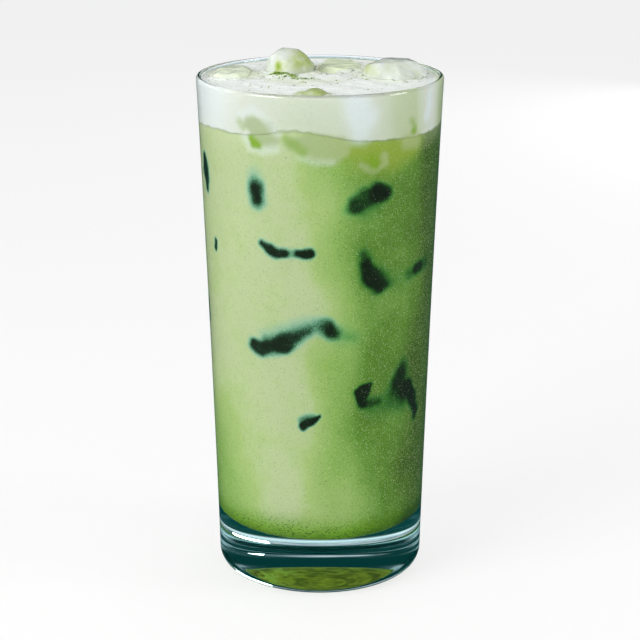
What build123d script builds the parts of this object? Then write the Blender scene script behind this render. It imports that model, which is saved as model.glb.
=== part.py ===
"""An iced matcha latte in a tall glass: green latte, a milk cap and five ice blocks.

The glass is one revolved solid with a heavy base.  The latte and the milk cap fill its
bore and meet at a wavy surface.  Both are cut round the ice blocks that stand out of
the milk.  Millimetres, +Z up, origin on the axis at the plane the glass stands on.
"""
import math
import os

from build123d import *

# --- The glass ---------------------------------------------------------------------
glass_height = 160.0
rim_radius = 38.0  # outside, at the lip
heel_radius = 32.5  # outside, where the wall would meet the standing plane
wall_bow = 0.35  # how far the wall lies inside a straight line at half the height
heel_fillet = 5.5
foot_ring = 1.4  # width of the flat ring that the glass stands on
punt_depth = 4.0  # the hollow under the base, inside that ring
lip_wall = 1.7  # glass thickness at the lip
waist_wall = 1.9  # at half the height
base_wall = 2.2  # just above the floor
floor_height = 17.0  # thickness of the heavy base
floor_fillet = 12.0  # inside corner between floor and wall
lip_fillet = 0.8

# --- The drink ---------------------------------------------------------------------
headroom = 1.5  # from the lip down to the milk where it meets the glass
milk_crown = 1.0  # how much higher the milk stands on the axis
milk_depth = 12.9  # from the top of the milk down to the latte, on average
ripple_height = 0.35  # small waves on the milk
ripple_length = 17.0

# Swells of the surface between latte and milk: azimuth in degrees (0 faces -Y, positive
# turns towards +X), height and half width.  They lie at the glass wall.
latte_swells = [
    (-11.0, 3.5, 13.5),
    (52.0, -0.4, 9.0),
    (-58.0, 1.2, 16.0),
    (88.0, 1.0, 12.0),
    (122.0, 2.2, 12.0),
    (160.0, -2.0, 10.0),
    (-150.0, 2.4, 13.0),
]

# --- The ice -----------------------------------------------------------------------
# Each block: width, depth and height; the centre of its top face, with the third number
# measured up from the milk at the glass; how it is turned about X, Y and Z in degrees;
# and the radius its corners have melted to.  They are listed as they lie in a bore of
# ice_bore, and in another bore they grow or shrink with it and so keep clear of it.
ice_bore = 36.3
ice_blocks = {
    "ice_back_left": ((14.0, 14.5, 22.0), (-8.4, 9.8, 8.0), (-12.0, 7.0, 40.0), 4.6),
    "ice_left": ((12.5, 16.5, 17.5), (-27.4, 3.0, 2.7), (4.0, -3.0, -10.0), 4.5),
    "ice_centre": ((14.0, 19.0, 19.0), (6.9, 17.5, 2.1), (3.0, 2.0, -3.0), 4.0),
    "ice_right": ((19.5, 19.0, 23.0), (23.6, 2.6, 6.1), (-4.0, 4.0, -16.0), 7.0),
    "ice_front": ((8.5, 6.5, 10.0), (-1.9, -30.0, 2.2), (6.0, -5.0, 4.0), 2.4),
}
edge_melt = 0.8  # how round a block's top and bottom edges are, beside its corners

surface_grid = 15  # points each way through which a drink surface is drawn

lip_bore = rim_radius - lip_wall
waist_radius = (rim_radius + heel_radius) / 2 - wall_bow
punt_radius = heel_radius - heel_fillet - foot_ring
milk_level = glass_height - headroom
latte_level = milk_level - milk_depth


def bore_section():
    """Half section of the space inside the glass, X outwards and Y upwards."""
    rise = floor_height / glass_height
    floor_radius = heel_radius + (rim_radius - heel_radius) * rise - base_wall
    corner = (floor_radius, floor_height)
    lip = (lip_bore, glass_height)
    with BuildSketch() as bore:
        with BuildLine():
            Polyline(lip, (0, glass_height), (0, floor_height), corner)
            ThreePointArc(corner, (waist_radius - waist_wall, glass_height / 2), lip)
        make_face()
        fillet(bore.vertices().sort_by_distance(corner)[0], floor_fillet)
    return bore.sketch


def latte_height(x, y):
    """Height of the surface between latte and milk."""
    height = latte_level
    for azimuth, swell, half_width in latte_swells:
        turn = math.radians(azimuth)
        distance = math.hypot(x - lip_bore * math.sin(turn), y + lip_bore * math.cos(turn))
        height += swell * math.exp(-((distance / half_width) ** 2))
    return height


def milk_height(x, y):
    """Height of the top of the milk."""
    inside = 1.0 - (x * x + y * y) / rim_radius**2
    wave = math.sin(2 * math.pi * x / ripple_length) * math.cos(2 * math.pi * y / ripple_length)
    return milk_level + (milk_crown + ripple_height * wave) * inside


def drink_surface(height_at):
    """A face over the whole glass that follows a height function."""
    reach = rim_radius + lip_wall
    grid = [reach * (2 * i / (surface_grid - 1) - 1) for i in range(surface_grid)]
    rows = [[Vector(x, y, height_at(x, y)) for y in grid] for x in grid]
    return Face.make_surface_from_array_of_points(rows, tol=0.02)


def finish(part, name):
    """Labels a finished piece and writes its STEP file."""
    part.label = name
    export_step(part, f"parts/{name}.step")


os.makedirs("parts", exist_ok=True)

# The glass: its whole section, with the bore cut out of it, is turned about the axis.
with BuildPart() as glass:
    with BuildSketch(Plane.XZ) as section:
        heel = (heel_radius, 0)
        lip = (rim_radius, glass_height)
        with BuildLine():
            TangentArc((0, punt_depth), (punt_radius, 0), tangent=(1, 0))
            Line((punt_radius, 0), heel)
            ThreePointArc(heel, (waist_radius, glass_height / 2), lip)
            Polyline(lip, (0, glass_height), (0, punt_depth))
        make_face()
        fillet(section.vertices().sort_by_distance(heel)[0], heel_fillet)
        add(bore_section(), mode=Mode.SUBTRACT)
        fillet(section.vertices().group_by(Axis.Y)[-1], lip_fillet)
    revolve(axis=Axis.Z)
finish(glass.part, "glass")

# The ice: rounded blocks whose tops stand out of the milk.
ice = []
ice_scale = lip_bore / ice_bore
for name, (size, place, turn, melt) in ice_blocks.items():
    width, depth, height = (ice_scale * length for length in size)
    x, y, rise = (ice_scale * length for length in place)
    corner_radius = ice_scale * melt
    with BuildPart() as block:
        with BuildSketch(Plane(Location((x, y, milk_level + rise), turn))):
            RectangleRounded(width, depth, corner_radius)
        extrude(amount=-height)
        fillet(block.faces().sort_by(Axis.Z)[-1].edges(), edge_melt * corner_radius)
        fillet(block.faces().sort_by(Axis.Z)[0].edges(), edge_melt * corner_radius)
    finish(block.part, name)
    ice.append(block.part)

latte_face = drink_surface(latte_height)
milk_face = drink_surface(milk_height)

# The latte: the bore up to the wavy surface, less the ice that reaches into it.
with BuildPart() as matcha_latte:
    with BuildSketch(Plane.XZ):
        add(bore_section())
    revolve(axis=Axis.Z)
    extrude(latte_face, amount=glass_height, dir=(0, 0, -1), mode=Mode.INTERSECT)
    add(ice, mode=Mode.SUBTRACT)
finish(matcha_latte.part, "matcha_latte")

# The milk cap: the bore between that surface and the top of the milk, less the ice.
with BuildPart() as milk_cap:
    with BuildSketch(Plane.XZ):
        add(bore_section())
    revolve(axis=Axis.Z)
    extrude(latte_face, amount=glass_height, dir=(0, 0, 1), mode=Mode.INTERSECT)
    extrude(milk_face, amount=glass_height, dir=(0, 0, -1), mode=Mode.INTERSECT)
    add(ice, mode=Mode.SUBTRACT)
finish(milk_cap.part, "milk_cap")
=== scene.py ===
# %% [markdown]
# # An iced matcha latte
#
# A tall glass with a heavy base holds green latte, a cap of milk foam and ice.  The
# model of the glass and its contents comes from CAD as a fixed frame.  This lesson
# rebuilds every piece of it as a fine mesh with its real finish, in that frame's metres.

import math

import bmesh
import bpy
import numpy as np
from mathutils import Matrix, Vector, noise
from mathutils.bvhtree import BVHTree


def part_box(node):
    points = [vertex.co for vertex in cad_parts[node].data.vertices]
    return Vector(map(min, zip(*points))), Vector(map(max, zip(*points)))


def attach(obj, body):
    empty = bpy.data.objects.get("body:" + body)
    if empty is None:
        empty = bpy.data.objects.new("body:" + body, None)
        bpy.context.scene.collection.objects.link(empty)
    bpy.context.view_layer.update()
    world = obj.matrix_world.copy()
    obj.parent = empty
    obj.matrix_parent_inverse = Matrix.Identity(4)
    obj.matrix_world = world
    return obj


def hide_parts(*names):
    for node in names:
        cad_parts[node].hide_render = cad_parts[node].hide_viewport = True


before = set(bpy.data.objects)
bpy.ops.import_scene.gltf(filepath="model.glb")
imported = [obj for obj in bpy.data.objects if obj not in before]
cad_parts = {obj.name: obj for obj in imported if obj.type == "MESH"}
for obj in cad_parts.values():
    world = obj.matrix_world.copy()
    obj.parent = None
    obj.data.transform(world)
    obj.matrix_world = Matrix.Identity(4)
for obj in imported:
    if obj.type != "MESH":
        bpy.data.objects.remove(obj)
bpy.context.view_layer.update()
print("nodes in the frame:", sorted(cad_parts))

# %% [markdown]
# ## Sizes
#
# The frame gives the height and the lip of the glass.  The bore inside it can't be read
# from a box, so its walls are named here as a glassmaker would give them.  Lengths are
# in millimetres, which is how the object is measured, and a mesh is turned into metres
# only when it is made.

# %% Sizes of the glass and the drink
MM = 0.001
glass_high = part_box("glass")[1]
glass_height = glass_high.z / MM
rim_radius = glass_high.x / MM
heel_radius = 32.5  # outside, where the wall would meet the table
wall_bow = 0.35  # the wall bends inwards by this much at half the height
heel_round = 5.5
foot_ring = 1.4  # the flat ring that touches the table
punt_depth = 4.0
lip_wall = 1.7
waist_wall = 1.9
base_wall = 2.2
floor_height = 17.0
floor_round = 12.0
floor_flat = 17.0  # the floor is flat out to this radius
wall_foot = floor_height + 14.0  # the round of the floor ends below this level
heel_top = 9.0  # and the round of the heel below this one
lip_round = 0.8
lip_foot = glass_height - 2.0
sink = 0.15  # the drink reaches this far into the glass, so that no air shows between

lip_bore = rim_radius - lip_wall
milk_level = glass_height - 1.5
latte_level = milk_level - 12.9
milk_crown = 1.0
milk_ripple = 0.35
ripple_length = 17.0
print("glass", round(glass_height, 1), "mm tall,", round(2 * rim_radius, 1), "mm across")


# %% [markdown]
# ## Walls and liquid levels as formulas
#
# A wall that bends a little is a parabola through three radii.  The surface between
# latte and milk isn't level: ice under it pushes it up, so it is a sum of soft swells
# that lie at the wall.  Keeping both as functions lets every piece ask for the same
# wall and the same surface, which is why the pieces fit without being moved.

# %% The walls
def bend(height, low, middle, high, bottom=0.0):
    """Radius at a height of a wall through three radii: at its bottom, half way, at the lip."""
    lowest, half, top = bottom, glass_height / 2, glass_height
    by_low = (height - half) * (height - top) / ((lowest - half) * (lowest - top))
    by_middle = (height - lowest) * (height - top) / ((half - lowest) * (half - top))
    by_high = (height - lowest) * (height - half) / ((top - lowest) * (top - half))
    return low * by_low + middle * by_middle + high * by_high


waist_radius = (rim_radius + heel_radius) / 2 - wall_bow
floor_rise = floor_height / glass_height
floor_bore = heel_radius + (rim_radius - heel_radius) * floor_rise - base_wall


def outer_wall(height):
    """Outside radius of the glass."""
    return bend(height, heel_radius, waist_radius, rim_radius)


def bore(height):
    """Inside radius of the glass."""
    return bend(height, floor_bore, waist_radius - waist_wall, lip_bore, floor_height)


# %% The surface between latte and milk, and the top of the milk
# Azimuth in degrees (0 faces the viewer, positive turns right), height, half width.
latte_swells = [
    (-11.0, 3.5, 13.5),
    (52.0, -0.4, 9.0),
    (-58.0, 1.2, 16.0),
    (88.0, 1.0, 12.0),
    (122.0, 2.2, 12.0),
    (160.0, -2.0, 10.0),
    (-150.0, 2.4, 13.0),
]


def latte_height(x, y):
    """Height of the surface between latte and milk."""
    height = np.full(np.shape(x), latte_level)
    for azimuth, swell, half_width in latte_swells:
        turn = math.radians(azimuth)
        off_x = x - lip_bore * math.sin(turn)
        off_y = y + lip_bore * math.cos(turn)
        height = height + swell * np.exp(-(off_x**2 + off_y**2) / half_width**2)
    return height


def milk_height(x, y):
    """Height of the top of the milk, before its foam is added."""
    inside = 1.0 - (x * x + y * y) / rim_radius**2
    wave = np.sin(2 * np.pi * x / ripple_length) * np.cos(2 * np.pi * y / ripple_length)
    return milk_level + (milk_crown + milk_ripple * wave) * inside


print("bore at half the height", round(float(bore(glass_height / 2)), 2), "mm")

# %% [markdown]
# ## Small helpers
#
# A finished piece's object stays at the origin, so its place is in its mesh.  These
# helpers make a mesh from millimetres, hand a finished piece to the frame, and bake
# what Geometry Nodes made into a plain mesh.

# %% Meshes and pieces
def mesh_object(name, points, faces, smooth=True):
    """A mesh object from points in millimetres."""
    mesh = bpy.data.meshes.new(name)
    mesh.from_pydata((np.asarray(points) * MM).tolist(), [], faces)
    mesh.polygons.foreach_set("use_smooth", [smooth] * len(mesh.polygons))
    mesh.update()
    piece = bpy.data.objects.new(name, mesh)
    bpy.context.scene.collection.objects.link(piece)
    return piece


def points_of(mesh):
    """A mesh's points, in millimetres."""
    flat = np.empty(3 * len(mesh.vertices), np.float32)
    mesh.vertices.foreach_get("co", flat)
    return flat.reshape(-1, 3).astype(float) / MM


def set_points(mesh, points):
    """Moves a mesh's points, given in millimetres."""
    mesh.vertices.foreach_set("co", (points * MM).astype(np.float32).ravel())
    mesh.update()


def store(mesh, name, values):
    """Keeps one number for each point, which a material can read by name."""
    layer = mesh.attributes.get(name) or mesh.attributes.new(name, "FLOAT", "POINT")
    layer.data.foreach_set("value", np.asarray(values, np.float32))


def face_outwards(mesh):
    """Merges doubles and turns every face outwards."""
    shape = bmesh.new()
    shape.from_mesh(mesh)
    bmesh.ops.remove_doubles(shape, verts=shape.verts, dist=1e-7)
    bmesh.ops.recalc_face_normals(shape, faces=shape.faces)
    shape.to_mesh(mesh)
    shape.free()


def bake(piece):
    """Turns what a piece's modifiers make into a plain mesh."""
    seen = piece.evaluated_get(bpy.context.evaluated_depsgraph_get())
    mesh = bpy.data.meshes.new_from_object(seen)
    piece.modifiers.clear()
    piece.data = mesh
    return piece


def finish_with(piece, material):
    """Gives every face of a piece one material."""
    piece.data.materials.clear()
    piece.data.materials.append(material)
    piece.data.polygons.foreach_set("material_index", [0] * len(piece.data.polygons))


def hand_over(piece, slot, *nodes):
    """Gives a finished piece to the frame."""
    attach(piece, "root")
    if nodes:
        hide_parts(*nodes)
    triangles = sum(len(face.vertices) - 2 for face in piece.data.polygons)
    print(piece.name, triangles, "triangles")


# %% Noise for shapes
def cloud(points, size, seed=0.0):
    """Soft noise from -1 to 1 at each point, with lumps about size millimetres across."""
    shift = Vector((seed, 2.3 * seed, -1.7 * seed))
    return np.array([noise.noise(Vector(p) / size + shift) for p in points])


def ease(value, low, high):
    """0 below low, 1 above high, with a soft step between."""
    share = np.clip((value - low) / (high - low), 0.0, 1.0)
    return share * share * (3.0 - 2.0 * share)


# %% [markdown]
# ## The glass
#
# The real glass is blown in a turning mould, so its shape follows one rule: a section
# turned about an axis.  A Screw modifier could turn it, but then the poles on the axis
# have to be mended by hand.  Here a Geometry Nodes tree does the turning: a grid has one
# row for each point of the section and one column for each step round, every point is
# set on its circle, and doubles are merged so that the seam and the poles close.  The
# corners of the section are rounded first, because it is the round lip and the round
# heel that catch the light.

# %% The section of the glass
def rounded(corners, radii, steps=10):
    """Points along an outline of (radius, height) whose corners are rounded."""
    line = []
    for index, (corner, radius) in enumerate(zip(corners, radii)):
        if radius == 0.0:
            line.append(corner)
            continue
        here = Vector(corner)
        back = (Vector(corners[index - 1]) - here).normalized()
        ahead = (Vector(corners[index + 1]) - here).normalized()
        half_angle = back.angle(ahead) / 2
        centre = here + (back + ahead).normalized() * (radius / math.sin(half_angle))
        start = here + back * (radius / math.tan(half_angle)) - centre
        end = here + ahead * (radius / math.tan(half_angle)) - centre
        first = math.atan2(start.y, start.x)
        turn = (math.atan2(end.y, end.x) - first + math.pi) % math.tau - math.pi
        for step in range(steps + 1):
            angle = first + turn * step / steps
            line.append((centre.x + radius * math.cos(angle), centre.y + radius * math.sin(angle)))
    return line


def wall_points(radius_at, low, high, count):
    """Evenly spaced points along a wall."""
    return [(float(radius_at(z)), z) for z in np.linspace(low, high, count)]


punt_radius = heel_radius - heel_round - foot_ring
punt = [(punt_radius * t, punt_depth * (1 - t * t)) for t in np.linspace(0, 1, 24)]
heel_and_wall = [(heel_radius, 0.0)] + wall_points(outer_wall, heel_top, lip_foot, 40)
lip = [(rim_radius, glass_height), (lip_bore, glass_height)]
bore_and_floor = wall_points(bore, lip_foot, wall_foot, 40)
bore_and_floor += [(floor_bore, floor_height), (floor_flat, floor_height), (0.0, floor_height)]
section = punt + heel_and_wall + lip + bore_and_floor
radii = [0.0] * len(section)
radii[len(punt)] = heel_round
radii[len(punt) + len(heel_and_wall)] = lip_round
radii[len(punt) + len(heel_and_wall) + 1] = lip_round
radii[-3] = floor_round
glass_section = rounded(section, radii)
print("the section has", len(glass_section), "points")


# %% Helpers for node trees, and a tree that turns a section about the axis
def new_tree(name, kind, inputs, outputs):
    """A node tree with named inputs, which may have a value, and named outputs."""
    tree = bpy.data.node_groups.new(name, kind)
    for label, socket_kind, *value in inputs:
        socket = tree.interface.new_socket(label, in_out="INPUT", socket_type=socket_kind)
        if value:
            socket.default_value = value[0]
    for label, socket_kind in outputs:
        tree.interface.new_socket(label, in_out="OUTPUT", socket_type=socket_kind)
    return tree


def set_inputs(tree, node, values):
    """Links or sets a node's inputs, given by name or number."""
    for key, value in values.items():
        if isinstance(value, bpy.types.NodeSocket):
            tree.links.new(value, node.inputs[key])
        else:
            node.inputs[key].default_value = value


def add_node(tree, kind, values=(), **settings):
    """Adds a node, sets its properties, and links or sets its inputs."""
    node = tree.nodes.new(kind)
    for key, value in settings.items():
        setattr(node, key, value)
    set_inputs(tree, node, dict(values))
    return node


def maths(tree, operation, first, second=0.0):
    """The result of a Math node."""
    return add_node(tree, "ShaderNodeMath", {0: first, 1: second}, operation=operation).outputs[0]


def product(tree, first, second):
    """One value times another."""
    return maths(tree, "MULTIPLY", first, second)


def rest_of(tree, share):
    """What a share leaves over: 1 minus it."""
    return maths(tree, "SUBTRACT", 1.0, share)


def end_tree(tree, geometry, finish):
    """Ends a Geometry Nodes tree with real, smooth geometry that has its material."""
    real = add_node(tree, "GeometryNodeRealizeInstances", {0: geometry}).outputs[0]
    smooth = add_node(tree, "GeometryNodeSetShadeSmooth", {0: real}).outputs[0]
    done = add_node(tree, "GeometryNodeSetMaterial", {0: smooth, "Material": finish}).outputs[0]
    add_node(tree, "NodeGroupOutput", {0: done})


geometry_socket = ("Geometry", "NodeSocketGeometry")


def lathe_tree():
    """Turns the polyline it is given, radius on X and height on Z, about the axis."""
    inputs = [
        geometry_socket,
        ("Steps round", "NodeSocketInt", 256),
        ("Merge distance", "NodeSocketFloat", 1e-6),
        ("Finish", "NodeSocketMaterial"),
    ]
    tree = new_tree("turn a section", "GeometryNodeTree", inputs, [geometry_socket])
    given = add_node(tree, "NodeGroupInput").outputs
    rail, steps = given["Geometry"], given["Steps round"]
    rows = add_node(tree, "GeometryNodeAttributeDomainSize", {0: rail}).outputs["Point Count"]
    columns = maths(tree, "ADD", steps, 1.0)
    grid = add_node(tree, "GeometryNodeMeshGrid", {"Vertices X": rows, "Vertices Y": columns})
    index = add_node(tree, "GeometryNodeInputIndex").outputs[0]
    row = maths(tree, "FLOOR", maths(tree, "DIVIDE", index, columns))
    column = maths(tree, "MODULO", index, columns)
    place = add_node(tree, "GeometryNodeInputPosition").outputs[0]
    sample = {"Geometry": rail, "Index": row}
    sample = add_node(tree, "GeometryNodeSampleIndex", sample, data_type="FLOAT_VECTOR")
    tree.links.new(place, [s for s in sample.inputs if s.name == "Value" and s.enabled][0])
    point = [s for s in sample.outputs if s.enabled][0]
    point = add_node(tree, "ShaderNodeSeparateXYZ", {0: point}).outputs
    turn = maths(tree, "DIVIDE", product(tree, column, math.tau), steps)
    across = product(tree, point["X"], maths(tree, "COSINE", turn))
    along = product(tree, point["X"], maths(tree, "SINE", turn))
    circle = add_node(tree, "ShaderNodeCombineXYZ", {"X": across, "Y": along, "Z": point["Z"]})
    turned = {"Geometry": grid.outputs["Mesh"], "Position": circle.outputs[0]}
    turned = add_node(tree, "GeometryNodeSetPosition", turned).outputs[0]
    closed = {"Geometry": turned, "Distance": given["Merge distance"]}
    closed = add_node(tree, "GeometryNodeMergeByDistance", closed).outputs[0]
    end_tree(tree, closed, given["Finish"])
    return tree


def run_tree(piece, tree, values):
    """Puts a tree on a piece with its named inputs set, and bakes what it makes."""
    modifier = piece.modifiers.new(tree.name, "NODES")
    modifier.node_group = tree
    for item in tree.interface.items_tree:
        if item.item_type == "SOCKET" and item.in_out == "INPUT" and item.name in values:
            modifier[item.identifier] = values[item.name]
    return bake(piece)


# %% [markdown]
# ## Finish of the glass
#
# Clear glass has no colour on its surface: what colour it has grows with the thickness
# that light crosses.  So the surface is a plain transmissive one and the teal sits in a
# Volume Absorption node.  Two millimetres of wall stay clear, while the heavy base,
# sixty millimetres across, turns deep teal, exactly as the real one does.

# %% Glass material
def new_material(name):
    """A material with its Principled shader and output."""
    material = bpy.data.materials.new(name)
    material.use_nodes = True
    return material, material.node_tree, material.node_tree.nodes["Principled BSDF"]


def absorb(tree, colour, density):
    """Colours what light crosses inside a clear piece."""
    node = add_node(tree, "ShaderNodeVolumeAbsorption", {"Color": (*colour, 1.0), "Density": density})
    set_inputs(tree, tree.nodes["Material Output"], {"Volume": node.outputs[0]})


def glass_material():
    material, tree, shader = new_material("clear teal glass")
    looks = {"Base Color": (1.0, 1.0, 1.0, 1.0), "Roughness": 0.0, "IOR": 1.5, "Transmission Weight": 1.0}
    set_inputs(tree, shader, looks)
    absorb(tree, (0.0, 0.62, 0.60), 9.0)
    return material


# %% The glass
glass_steps = 240


def make_glass():
    rail = bpy.data.meshes.new("glass section")
    points = [(r * MM, 0.0, z * MM) for r, z in glass_section]
    rail.from_pydata(points, [(i, i + 1) for i in range(len(points) - 1)], [])
    piece = bpy.data.objects.new("tall_glass", rail)
    bpy.context.scene.collection.objects.link(piece)
    run_tree(piece, lathe_tree(), {"Steps round": glass_steps, "Finish": glass_material()})
    face_outwards(piece.data)
    return piece


tall_glass = make_glass()
hand_over(tall_glass, "glass", "glass")

# %% [markdown]
# ## The ice that stands out of the milk
#
# Five blocks float at the top.  Each starts from its own CAD solid, so that it is exactly
# where the frame has it.  A voxel remesh gives the block an even skin, its top is lowered
# towards its sides into a hump, a few flat cuts give it the chipped faces of broken ice,
# and soft noise melts hollows into it.  All of this only takes ice away, as melting does,
# so no block grows out of its place.

# %% Melted ice blocks
voxel = 0.45
cuts_per_block = 7
melt_depth = 0.55


def copy_node(name, node):
    """A copy of a CAD node's mesh with its doubles merged."""
    piece = bpy.data.objects.new(name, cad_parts[node].data.copy())
    piece.data.materials.clear()
    bpy.context.scene.collection.objects.link(piece)
    face_outwards(piece.data)
    return piece


def remeshed(piece, size):
    """An even skin of voxels round a closed mesh."""
    modifier = piece.modifiers.new("even skin", "REMESH")
    modifier.mode = "VOXEL"
    modifier.voxel_size = size * MM
    modifier.use_smooth_shade = True
    return bake(piece)


def melt(piece, seed, chip, hump):
    """Rounds a block into a hump, chips flat faces into it and melts soft hollows."""
    rng = np.random.default_rng(seed)
    points = points_of(piece.data)
    centre = (points.min(0) + points.max(0)) / 2
    half = (points.max(0) - points.min(0)) / 2
    from_crest = ((points - centre)[:, :2] ** 2).sum(1)
    dome = np.maximum(points[:, 2].max() - hump * from_crest, milk_level - 1.0)
    points[:, 2] = np.minimum(points[:, 2], dome)
    for _ in range(cuts_per_block):
        facing = rng.normal(size=3)
        facing[2] = abs(facing[2]) * 0.8
        facing /= np.linalg.norm(facing)
        reach = np.abs((points - centre) @ facing).max()
        beyond = (points - centre) @ facing - reach * (1.0 - chip * rng.uniform(0.4, 1.0))
        points -= np.clip(beyond, 0.0, None)[:, None] * facing * 0.9
    set_points(piece.data, points)
    normals = np.empty(3 * len(points), np.float32)
    piece.data.vertices.foreach_get("normal", normals)
    hollow = 0.5 + 0.5 * cloud(points, 5.5, seed) + 0.3 * cloud(points, 2.2, seed + 5.0)
    deepest = min(melt_depth, 0.06 * half.min())
    points -= normals.reshape(-1, 3) * (deepest * np.clip(hollow, 0.0, 1.3))[:, None]
    set_points(piece.data, points)
    print(piece.name, "half sizes", half.round(1), "mm")


# For each block: how deep the cuts go, as a share of it, how fast its top falls from its
# crest, how much green water it has taken up (0 is pale lime, 0.2 white, 1 olive, 2 green),
# and where it has taken up more: the middle, how far that reaches, and how much.
ice_kinds = {
    "ice_back_left": (0.14, 0.090, 0.22, [
        ((-12.8, 3.0, 162.0), (1.3, 3.5, 1.7), 1.6),
        ((-5.5, 6.0, 163.5), (4.0, 9.0, 2.6), 0.95),
    ]),
    "ice_left": (0.10, 0.0, 0.06, []),
    "ice_centre": (0.10, 0.0, 0.0, []),
    "ice_right": (0.12, 0.022, 0.20, [
        ((17.0, 4.0, 162.0), (4.0, 8.0, 1.6), 0.95),
        ((29.0, 0.0, 160.0), (2.0, 6.0, 2.0), 0.40),
    ]),
    "ice_front": (0.03, 0.110, 0.85, []),
}
first_seed = 11
ice_blocks = []
for number, (node, (chip, hump, green, spots)) in enumerate(ice_kinds.items()):
    block = remeshed(copy_node("clear_" + node, node), voxel)
    melt(block, first_seed + number, chip, hump)
    corners = points_of(block.data)
    tint = np.full(len(corners), green)
    for middle, reach, amount in spots:
        tint += amount * np.exp(-(((corners - middle) / reach) ** 2).sum(1))
    store(block.data, "tint", tint)
    ice_blocks.append(block)

# %% [markdown]
# ## The latte and the milk cap
#
# Both liquids fill the bore and reach a hair into the glass, so that no air shows between
# them and the wall: with air there, the glass would look silvered and the drink would
# seem to hang inside it.  Each is a closed shell of rings, and they share the swelling
# surface between them.

# %% Rings of a liquid
around = 380
round_turns = np.linspace(0, math.tau, around, endpoint=False)


def ring(radius, height):
    """A ring of points; the radius and the height may vary round it."""
    return np.stack(
        [radius * np.cos(round_turns), radius * np.sin(round_turns), np.zeros(around) + height], 1
    )


def surface_rings(height_at, radii):
    """Rings that lie on a liquid surface."""
    rings = []
    for radius in radii:
        flat = ring(radius, 0.0)
        rings.append(ring(radius, height_at(flat[:, 0], flat[:, 1])))
    return rings


def wall_rings(low, high, count):
    """Rings up the bore between two levels, reaching a hair into the glass."""
    levels = [low + (high - low) * share for share in np.linspace(0, 1, count)]
    return [ring(bore(level) + sink, level) for level in levels]


def shell(name, bottom, rings, top):
    """A closed body through a lowest point, rings and a highest point."""
    points = np.vstack([[[0.0, 0.0, bottom]], *rings, [[0.0, 0.0, top]]])
    last = len(points) - 1
    faces = []
    for j in range(around):
        after = (j + 1) % around
        faces.append((0, 1 + after, 1 + j))
        for i in range(len(rings) - 1):
            here = 1 + i * around
            above = here + around
            faces.append((here + j, here + after, above + after, above + j))
        here = 1 + (len(rings) - 1) * around
        faces.append((here + j, here + after, last))
    return mesh_object(name, points, faces)


edge_radius = float(bore(latte_level)) + sink
edge_ring = ring(edge_radius, 0.0)
latte_edge = latte_height(edge_ring[:, 0], edge_ring[:, 1])
middle_of_latte = float(latte_height(np.zeros(1), np.zeros(1))[0])

# %% The latte
inner_radius = 3.0
latte_floor = floor_height - sink
floor_line = [(16.0, latte_floor), (floor_bore + sink, latte_floor), (bore(wall_foot) + sink, wall_foot)]
floor_line = rounded(floor_line, [0.0, floor_round, 0.0])
floor_rings = [ring(radius, latte_floor) for radius in (4.0, 8.0, 12.0, 15.0, floor_flat)]
corner_rings = [ring(radius, level) for radius, level in floor_line[1:-1]]
latte_rings = floor_rings + corner_rings + wall_rings(wall_foot, latte_edge, 196)
latte_rings += surface_rings(latte_height, np.linspace(edge_radius, inner_radius, 12)[1:])
latte = shell("matcha_latte_body", latte_floor, latte_rings, middle_of_latte)

# %% [markdown]
# The top of the milk is foam.  It climbs the glass and every ice block by half a
# millimetre, as any liquid does, and it is lumpy because the foam was spooned.  Under a
# block it dips into a shallow bowl.  A Boolean could cut the whole hollow, but clear ice
# would then show a deep, dark pit, while milk that seeps under a block looks pale.  The
# depth inside a block comes from a tree of its faces, so the bowls follow the outlines.

# %% The milk cap
meniscus = 0.5
meniscus_width = 0.9
lump_height = 0.45
bowl_depth = 1.3


def face_tree(piece):
    """A search tree of a piece's faces."""
    corners = [point.co for point in piece.data.vertices]
    return BVHTree.FromPolygons(corners, [tuple(face.vertices) for face in piece.data.polygons])


ice_trees = [face_tree(block) for block in ice_blocks]
search_reach = 6.0


def ice_depth(points):
    """Millimetres that each point lies inside the nearest ice block, or minus its way to it."""
    found = np.full(len(points), -search_reach)
    for index, point in enumerate(points):
        here = Vector(point) * MM
        for tree in ice_trees:
            skin, facing, _, distance = tree.find_nearest(here, search_reach * MM)
            if distance is not None:
                side = 1.0 if (here - skin).dot(facing) < 0.0 else -1.0
                found[index] = max(found[index], side * distance / MM)
    return found


def foam_height(x, y):
    """Height of the top of the foam."""
    height = milk_height(x, y)
    flat = np.stack([x, y, np.full(len(x), milk_level + 0.6)], 1)
    lumps = 0.7 * cloud(flat, 7.0, 3.0) + 0.5 * cloud(flat, 2.6, 8.0) + 0.2 * cloud(flat, 1.2, 5.0)
    inside = ease(lip_bore - np.hypot(x, y), 0.0, 3.0)
    depth = ice_depth(flat)
    height += lump_height * lumps * inside
    height += meniscus * np.exp(-(lip_bore - np.hypot(x, y)) / meniscus_width)
    height += meniscus * np.exp(-np.abs(depth) / meniscus_width)
    height -= bowl_depth * ease(depth, 0.2, 3.0)
    return height


top_edge = float(bore(milk_level)) + sink
top_ring = ring(top_edge, 0.0)
milk_edge = foam_height(top_ring[:, 0], top_ring[:, 1])
milk_rings = surface_rings(latte_height, np.linspace(inner_radius, edge_radius, 12)[:-1])
milk_rings += wall_rings(latte_edge, milk_edge, 28)
milk_rings += surface_rings(foam_height, np.linspace(top_edge, 0.5, 74)[1:])
middle_of_foam = float(foam_height(np.zeros(1), np.zeros(1))[0])
milk = shell("milk_cap_foam", middle_of_latte, milk_rings, middle_of_foam)


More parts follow.
